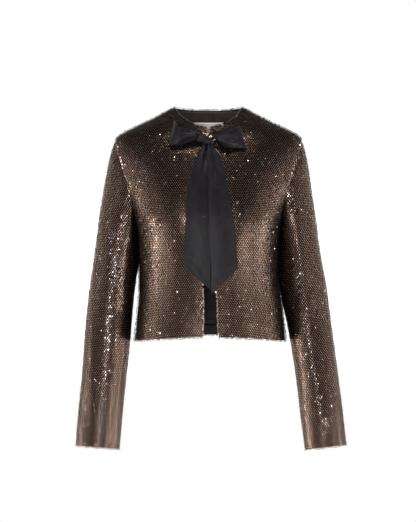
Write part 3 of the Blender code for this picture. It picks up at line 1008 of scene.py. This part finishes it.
@dataclass
class Loop(Ribbon):
    """One loop of the bow: out along the chest, round its end and back in front, gathered at the knot."""

    side: float = 1.0
    stations: Sequence[LoopStation] = ()
    chest: Chest | None = None
    phase: float = 0.0
    turn_from: float = 0.4
    turn_share: float = 0.2
    furthest: float = 60.0
    highest: float = -45.5
    clearance: float = 4.0
    gap: float = 2.5
    crest: float = 0.66

    def column(self, label: str, where: float) -> float:
        """One column of the loop's table at a reach, in mm."""
        reach = [station.reach for station in self.stations]
        return float(curve_through(reach, [getattr(s, label) for s in self.stations], np.array([where]))[0])

    def point(self, along: float, across: float) -> Array:
        """Where a point of the loop lies. See Ribbon.point."""
        first, last = self.stations[0].reach, self.stations[-1].reach
        where = first + (last - first) * math.sin(math.pi * along)
        turned = min(max((along - self.turn_from) / self.turn_share, 0), 1)
        front = turned * turned * (3 - 2 * turned)
        top = self.column("top", where) * (1 - front) + self.column("front_top", where) * front
        bottom = self.column("bottom", where) * (1 - front) + self.column("front_bottom", where) * front
        z = bottom + (top - bottom) * across
        x = where + self.column("slant", where) * (1 - across)
        near = 1 - (where - first) / (last - first)
        away = self.chest.depth(min(x, self.furthest) * self.side, min(z, self.highest)) - self.clearance
        rest = away + (KNOT_FACE + self.gap - away) * near**2
        # The front layer rises from its lower fold to a full roll and stands open along its top
        arch = 0.12 + 0.88 * math.sin(min(across / self.crest, 1.0) * math.pi / 2)
        arch -= 0.25 * max(across - self.crest, 0.0) / (1 - self.crest)
        pleats = 1.5 * near**1.5 * math.cos(across * 4.3 * math.pi + self.phase)
        pleats += 0.7 * near * math.cos(across * 8.1 * math.pi + 2 * self.phase)
        relief = sum(fold.out(self.side * x, z) for fold in self.folds) if front > 0 else 0.0
        bow = (self.column("bulge", where) * arch + self.gap + relief) * front + pleats * (2 * front - 1)
        return np.array([self.side * x, rest - bow, z])


@dataclass
class Tail(Ribbon):
    """One hanging end of the bow: pleated under the knot, flat below, cut slantwise."""

    side: float = 1.0
    stations: Sequence[TailStation] = ()
    tip: float = -370.0
    layer: float = 0.0
    chest: Chest | None = None
    top: float = -78.0
    bust: float = -235.0
    fade: float = 24.0
    gather: float = 42.0
    clearance: float = 4.0

    def column(self, label: str, height: float) -> float:
        """One column of the tail's table at a height, in mm."""
        rows = sorted(self.stations)
        heights, values = [row.height for row in rows], [getattr(row, label) for row in rows]
        return float(curve_through(heights, values, np.array([height]))[0])

    def point(self, along: float, across: float) -> Array:
        """Where a point of the tail lies. See Ribbon.point."""
        corner = self.stations[-1].height
        end = self.tip + (corner - self.tip) * across
        z = self.top + (end - self.top) * (1 - along) ** 1.1
        inner, outer = self.column("inner", z), self.column("outer", z)
        x = inner + (outer - inner) * across
        # Below the bust the ribbon hangs straight down, so the chest's own slope fades out
        held = self.bust + self.fade * math.log1p(math.exp((z - self.bust) / self.fade))
        body = self.chest.depth(x, held)
        gathered = math.exp(-(self.top - z) / self.gather)
        pleat = 2.0 * gathered * math.cos(across * 3 * math.pi) + 0.8 * gathered * math.cos(across * 7 * math.pi + 1)
        wave = 1.6 * (1 - gathered) * math.sin(across * math.pi * 1.3 + self.side)
        relief = sum(fold.out(x, z) for fold in self.folds)
        return np.array([x, body - self.clearance - self.layer - 3.5 * gathered - pleat - wave - relief, z])


class Roll(NamedTuple):
    """One roll of ribbon in the knot: its middle and half sizes in mm, its slope down to +X, and its creases."""

    middle: tuple[float, float, float]
    half: tuple[float, float, float]
    slope: float
    creases: tuple[tuple[float, float, float], ...]


@dataclass
class Knot:
    """The knot: the ribbon wound slantwise over the middle and tucked under, with its creases running round it."""

    bend: float = 0.22
    waver: float = 0.08
    rolls: Sequence[Roll] = (
        Roll(
            (-8.2, -99.5, -73.5), (15.5, 9.5, 7.6), 37.0, ((-0.42, 0.10, 0.16), (0.12, 0.08, 0.10), (0.58, 0.12, 0.12))
        ),
        Roll((0.5, -98.5, -77.0), (6.5, 8.0, 8.5), 62.0, ((-0.3, 0.12, 0.14), (0.4, 0.12, 0.10))),
        Roll((-16.0, -97.0, -70.5), (6.0, 7.0, 9.0), -12.0, ((0.1, 0.14, 0.12),)),
    )

    def build(self, material: bpy.types.Material) -> Any:
        """Turns balls into the rolls of the wound knot.

        Args:
            material: the satin.

        Returns:
            The object.
        """
        mesh = bmesh.new()
        mesh.loops.layers.uv.new("cloth")
        for roll in self.rolls:
            made = bmesh.ops.create_uvsphere(mesh, u_segments=48, v_segments=32, radius=1.0, calc_uvs=True)
            cosine, sine = math.cos(math.radians(-roll.slope)), math.sin(math.radians(-roll.slope))
            for vert in made["verts"]:
                across = vert.co.z + self.bend * vert.co.x**2 + self.waver * math.sin(3 * vert.co.x)
                deep = sum(depth * math.exp(-(((across - place) / width) ** 2)) for place, width, depth in roll.creases)
                u, v, w = np.array(vert.co) * roll.half * (1 - deep)
                vert.co = Vector(roll.middle + np.array([u * cosine - w * sine, v, u * sine + w * cosine])) * MM
        piece = add_piece("knot_satin", mesh, [material])
        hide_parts("bow_knot")
        return piece


@dataclass
class Bow:
    """The satin bow: two loops, two ends and the knot."""

    loop_right: Sequence[LoopStation] = rows_of(
        LoopStation,
        (20, -62, -73, -63, -73, 3, 0), (26, -54, -75, -58, -76, 9, 1), (38, -44, -78, -54, -80, 14, 3),
        (52, -36, -82, -51, -85, 17, 6), (61, -34, -83, -42, -85, 13, 9), (66, -33, -81, -34, -81, 3, 10),
    )
    loop_left: Sequence[LoopStation] = rows_of(
        LoopStation,
        (7, -65, -73, -65, -73, 3, 0), (14, -60, -74, -66, -75, 8, 1), (25, -54, -85, -66, -88, 14, 3),
        (38, -51, -88, -67, -91, 17, 5), (51, -47, -89, -62, -91, 14, 8), (61, -43, -90, -44, -90, 3, 10),
    )
    tail_right: Sequence[TailStation] = rows_of(
        TailStation,
        (-80, 0, -11), (-92, 0, -15), (-106, 2, -22), (-146, 4, -35), (-171, 5, -41), (-257, 6, -45), (-320, 5, -47),
    )
    tail_left: Sequence[TailStation] = rows_of(
        TailStation,
        (-80, 1, 5), (-92, -2, 12), (-106, -3, 22), (-154, -1, 35), (-186, 0, 41), (-257, 1, 51), (-322, 5, 56),
    )

    loop_right_folds: Sequence[Fold] = rows_of(
        Fold,
        (((-68, -86), (-54, -73), (-40, -67), (-22, -66)), 6.5, 4.0), (((-62, -92), (-46, -81), (-26, -73)), 5.0, -4.0),
        (((-58, -50), (-50, -58), (-36, -60)), 4.0, 2.0),
    )
    loop_left_folds: Sequence[Fold] = rows_of(
        Fold,
        (((8, -70), (22, -74), (33, -82), (42, -90)), 6.0, 4.5), (((6, -77), (18, -82), (28, -92)), 4.5, -4.0),
        (((50, -66), (52, -76), (50, -88)), 7.0, -4.5), (((24, -69), (40, -71), (56, -65)), 2.6, 1.6),
    )
    tail_right_folds: Sequence[Fold] = rows_of(
        Fold,
        (((-9, -82), (-8.5, -92), (-9, -99)), 3.6, 4.5), (((-14, -82), (-13.5, -96), (-11, -104)), 2.2, -2.6),
        (((-3.5, -82), (-4, -96), (-7, -106)), 2.6, -4.0), (((-9, -103), (-3, -122)), 3.2, -1.3),
        (((-42, -292), (-26, -306), (-12, -324)), 7.0, -0.8), (((-45, -308), (-26, -328), (-8, -346)), 6.0, 0.8),
    )
    tail_left_folds: Sequence[Fold] = rows_of(
        Fold,
        (((2.5, -82), (3.5, -112), (4, -156)), 3.2, 2.2), (((8, -84), (11, -122), (15, -165)), 3.6, -1.8),
        (((14, -92), (21, -130), (26, -172)), 4.4, 1.2), (((10, -312), (30, -300), (50, -292)), 8.0, -0.7),
        (((14, -338), (34, -322), (52, -312)), 6.0, 0.7),
    )

    def build(self, satin: bpy.types.Material) -> None:
        """Builds the bow's pieces.

        Args:
            satin: the ribbon's satin.
        """
        chest = Chest()
        Knot().build(satin)
        for name, node, side, stations, folds, phase in (
            ("loop_right_satin", "bow_loop_right", -1.0, self.loop_right, self.loop_right_folds, 0.4),
            ("loop_left_satin", "bow_loop_left", 1.0, self.loop_left, self.loop_left_folds, 1.7),
        ):
            shape = {"side": side, "stations": stations, "chest": chest, "folds": folds, "phase": phase}
            Loop(name, node, 90, 40, **shape).build(satin)
        for name, node, side, stations, folds, tip, layer in (
            ("tail_right_satin", "tie_tail_right", -1.0, self.tail_right, self.tail_right_folds, -364.0, 0.0),
            ("tail_left_satin", "tie_tail_left", 1.0, self.tail_left, self.tail_left_folds, -372.0, 4.0),
        ):
            shape = {"side": side, "stations": stations, "chest": chest, "folds": folds, "tip": tip, "layer": layer}
            Tail(name, node, 150, 30, held=Held.HUNG, **shape).build(satin)


# The jacket


@dataclass
class Jacket:
    """The five sequinned pieces and what shows of the inside."""

    finishes: Finishes
    thickness: float = 1.2
    tie_thickness: float = 0.9
    inside_thickness: float = 0.4
    first_seed: int = 11
    sewn_to: dict[str, list[str]] = field(
        default_factory=lambda: {
            "front_right": ["back_cloth"],
            "front_left": ["back_cloth"],
            "back": ["front_right_cloth", "front_left_cloth"],
            "sleeve_right": ["front_right_cloth", "back_cloth"],
            "sleeve_left": ["front_left_cloth", "back_cloth"],
            "back_neck_facing": ["back_cloth"],
            "back_lining": ["back_neck_facing_cloth"],
            "back_hem_facing": ["back_cloth"],
            "neck_label": ["back_neck_facing_cloth"],
        }
    )

    ties: dict[str, str] = field(
        default_factory=lambda: {"front_right": "tie_band_right", "front_left": "tie_band_left"}
    )
    # Lines down the sleeves where sequins tilt further and are coloured nearly white as painted glints.
    glitter: dict[str, tuple[Glitter, ...]] = field(
        default_factory=lambda: {
            "sleeve_right": (
                Glitter(((-186, -245), (-184, -300), (-186, -366)), 20, 0.6),
                Glitter(((-190, -366), (-203, -520), (-209, -655)), 10, 0.6),
            ),
            "sleeve_left": (
                Glitter(((160, -168), (164, -222)), 14, 0.6),
                Glitter(((176, -330), (184, -400), (208, -530), (233, -652)), 9, 0.5),
            ),
        }
    )

    def creases(self) -> dict[str, list[Crease]]:
        """Every crease of the jacket, by the piece that it lies on.

        Returns:
            The creases.
        """
        return {
            "front_right": [
                Crease(Look.FRONT, ((-40, -222), (-80, -224), (-125, -238)), 46, 4.0),
                Crease(Look.FRONT, ((-136, -225), (-134, -280), (-134, -330)), 14, 1.2),
                Crease(Look.FRONT, ((-52, -360), (-45, -410), (-44, -470)), 22, -2.0),
                Crease(Look.FRONT, ((-66, -250), (-62, -330), (-70, -400)), 12, 0.9),
            ],
            "front_left": [
                Crease(Look.FRONT, ((40, -226), (80, -230), (125, -246)), 46, 4.0),
                Crease(Look.FRONT, ((136, -225), (134, -280), (134, -330)), 14, 1.2),
                Crease(Look.FRONT, ((88, -250), (84, -320), (92, -400)), 16, 0.9),
            ],
            "back": [
                Crease(Look.BACK, ((-60, -240), (-66, -330), (-58, -440)), 26, -1.6),
                Crease(Look.BACK, ((52, -260), (58, -350), (66, -450)), 22, -1.4),
                Crease(Look.BACK, ((-8, -300), (0, -380), (-4, -455)), 18, 1.2),
                Crease(Look.BACK, ((112, -150), (96, -210), (104, -270)), 15, -1.5),
                Crease(Look.BACK, ((-112, -160), (-98, -215), (-106, -265)), 15, -1.3),
            ],
            "sleeve_right": [
                Crease(Look.LEFT, ((0, -215), (0, -255), (0, -290), (0, -345)), 26, 5.0),
                Crease(Look.FRONT, ((-183, -286), (-203, -420), (-205, -534), (-209, -640)), 9, 1.0),
                Crease(Look.FRONT, ((-226, -330), (-230, -420), (-228, -520), (-226, -620)), 7, 0.9),
                Crease(Look.FRONT, ((-238, -560), (-242, -600), (-240, -645)), 12, -1.6),
                Crease(Look.FRONT, ((-190, -350), (-176, -400), (-166, -455)), 11, -1.5),
                Crease(Look.BACK, ((-215, -330), (-185, -380), (-168, -420)), 12, -1.8),
                Crease(Look.BACK, ((-220, -430), (-196, -460), (-176, -500)), 11, -1.4),
            ],
            "sleeve_left": [
                Crease(Look.RIGHT, ((0, -215), (0, -280), (0, -350), (0, -430)), 28, 6.5),
                Crease(Look.FRONT, ((167, -174), (172, -212), (183, -358), (191, -440)), 11, 1.6),
                Crease(Look.FRONT, ((191, -430), (199, -496), (213, -572), (233, -648)), 11, 1.6),
                Crease(Look.FRONT, ((176, -330), (172, -390), (180, -440)), 9, -1.2),
                Crease(Look.BACK, ((214, -320), (188, -376), (172, -410)), 12, -1.8),
                Crease(Look.BACK, ((222, -440), (204, -466), (186, -510)), 11, -1.5),
            ],
        }

    def build(self) -> None:
        """Builds the shells, the sequins on them and the inside."""
        creases = self.creases()
        for seed, node in enumerate(("front_right", "front_left", "back", "sleeve_right", "sleeve_left")):
            cloth = Cloth(node, thickness=self.thickness, tube=node.startswith("sleeve"), creases=creases[node])
            piece = cloth.build([self.finishes.ground, self.finishes.lining], "sequin_cloth")
            sequins = SequinField(piece, f"{node}_sequins", seed + self.first_seed, glitter=self.glitter.get(node, ()))
            carried = [sequins.build(self.finishes.film)]
            if node in self.ties:
                tie = Cloth(self.ties[node], thickness=self.tie_thickness, upright=False)
                carried.append(tie.build([self.finishes.ribbon], "ribbon_satin"))
        for node, material, slot in (
            ("back_neck_facing", self.finishes.facing, "facing_satin"),
            ("back_lining", self.finishes.lining, "lining"),
            ("back_hem_facing", self.finishes.lining, "lining"),
            ("neck_label", self.finishes.tape, "label_tape"),
        ):
            cloth = Cloth(node, Wall.INNER, self.inside_thickness)
            piece = cloth.build([material], slot)


# Studio


@dataclass
class Softbox:
    """A soft square light that looks at the jacket's middle from an angle round it and one above it."""

    name: str
    azimuth: float
    elevation: float
    power: float
    size: float = 0.8
    distance: float = 2.9
    middle: tuple[float, float, float] = (0.0, 0.0, -0.3)

    def build(self) -> None:
        """Adds the light."""
        data = bpy.data.lights.new(self.name, "AREA")
        data.shape = "SQUARE"
        data.size = self.size
        data.energy = self.power
        made = link(self.name, data)
        round_it, above = math.radians(self.azimuth), math.radians(self.elevation)
        way = Vector((math.sin(round_it) * math.cos(above), -math.cos(round_it) * math.cos(above), math.sin(above)))
        made.location = Vector(self.middle) + way * self.distance
        made.rotation_euler = (-way).to_track_quat("-Z", "Y").to_euler()


@dataclass
class Studio:
    """A white room with a pale floor and soft light all round, least of it from behind the camera."""

    camera_place: tuple[float, float, float] = (-0.001, -2.5, -0.308)
    half_height: float = 0.522
    floor_height: float = -1.55
    floor_radius: float = 2.6
    film_width: float = 36.0
    front: float = 0.05
    sides: float = 1.3
    rear: float = 2.0
    ceiling: float = 0.22
    lights: Sequence[Softbox] = (
        Softbox("key", -4, 1, 32, 0.4),
        Softbox("low_front", 22, -30, 20),
        Softbox("low_right", 46, -24, 46),
        Softbox("low_left", -58, -26, 14),
        Softbox("side_right", 84, -17, 25),
        Softbox("side_left", -84, -19, 45),
        Softbox("rim_right", 154, 0, 30),
        Softbox("rim_left", -154, 0, 40),
        Softbox("top", 0, 62, 60),
    )

    def build(self) -> None:
        """Adds the camera, the lights, the surround and the floor."""
        scene = bpy.context.scene
        data = bpy.data.cameras.new("camera")
        data.sensor_width = self.film_width
        data.lens = self.film_width / 2 * -self.camera_place[1] / self.half_height
        camera = link("camera", data)
        camera.location = self.camera_place
        camera.rotation_euler = (math.pi / 2, 0.0, 0.0)
        scene.camera = camera
        scene.view_settings.view_transform = "Standard"
        for light in self.lights:
            light.build()
        self.build_surround()
        mesh = bmesh.new()
        bmesh.ops.create_circle(mesh, cap_ends=True, segments=96, radius=self.floor_radius)
        for vert in mesh.verts:
            vert.co.z = self.floor_height
        data = bpy.data.meshes.new("floor")
        mesh.to_mesh(data)
        mesh.free()
        data.materials.append(PaperFloor().material())
        link("floor", data)

    def build_surround(self) -> None:
        """A plain white backdrop for the eye. On the jacket the room is light at the sides and dark in front."""
        world = bpy.data.worlds.new("studio")
        bpy.context.scene.world = world
        world.use_nodes = True
        tree = world.node_tree
        tree.nodes.clear()
        seen = add_node(tree, "ShaderNodeLightPath").outputs["Is Camera Ray"]
        backdrop = add_node(tree, "ShaderNodeBackground", {"Color": (1, 1, 1, 1), "Strength": 1.0})
        way = add_node(tree, "ShaderNodeTexCoord").outputs["Generated"]
        parts = add_node(tree, "ShaderNodeSeparateXYZ", links={0: way}).outputs
        aside = add_node(tree, "ShaderNodeMath", {"operation": "ABSOLUTE"}, {0: parts["X"]})
        walls, rear, above = (
            add_node(
                tree,
                "ShaderNodeMapRange",
                {"interpolation_type": "SMOOTHSTEP", "From Min": low, "From Max": high, "To Min": start, "To Max": end},
                {"Value": source},
            )
            for source, low, high, start, end in (
                (aside, 0.35, 0.95, self.front, self.sides),
                (parts["Y"], 0.0, 1.0, 0.0, self.rear),
                (parts["Z"], 0.12, 0.5, 1.0, self.ceiling),
            )
        )
        room = add_node(tree, "ShaderNodeMath", {"operation": "ADD"}, {0: walls, 1: rear})
        strength = add_node(tree, "ShaderNodeMath", {"operation": "MULTIPLY"}, {0: room, 1: above})
        light = add_node(tree, "ShaderNodeBackground", {"Color": (1, 0.98, 0.96, 1)}, {"Strength": strength})
        mixed = add_node(tree, "ShaderNodeMixShader", links={0: seen, 1: light, 2: backdrop})
        add_node(tree, "ShaderNodeOutputWorld", links={"Surface": mixed})


def main() -> None:
    """Builds the studio, the jacket and its bow."""
    logging.basicConfig(level=logging.INFO, format="%(name)s: %(message)s")
    Studio().build()
    finishes = Finishes()
    Jacket(finishes).build()
    Bow().build(finishes.ribbon)


if __name__ == "__main__":
    main()
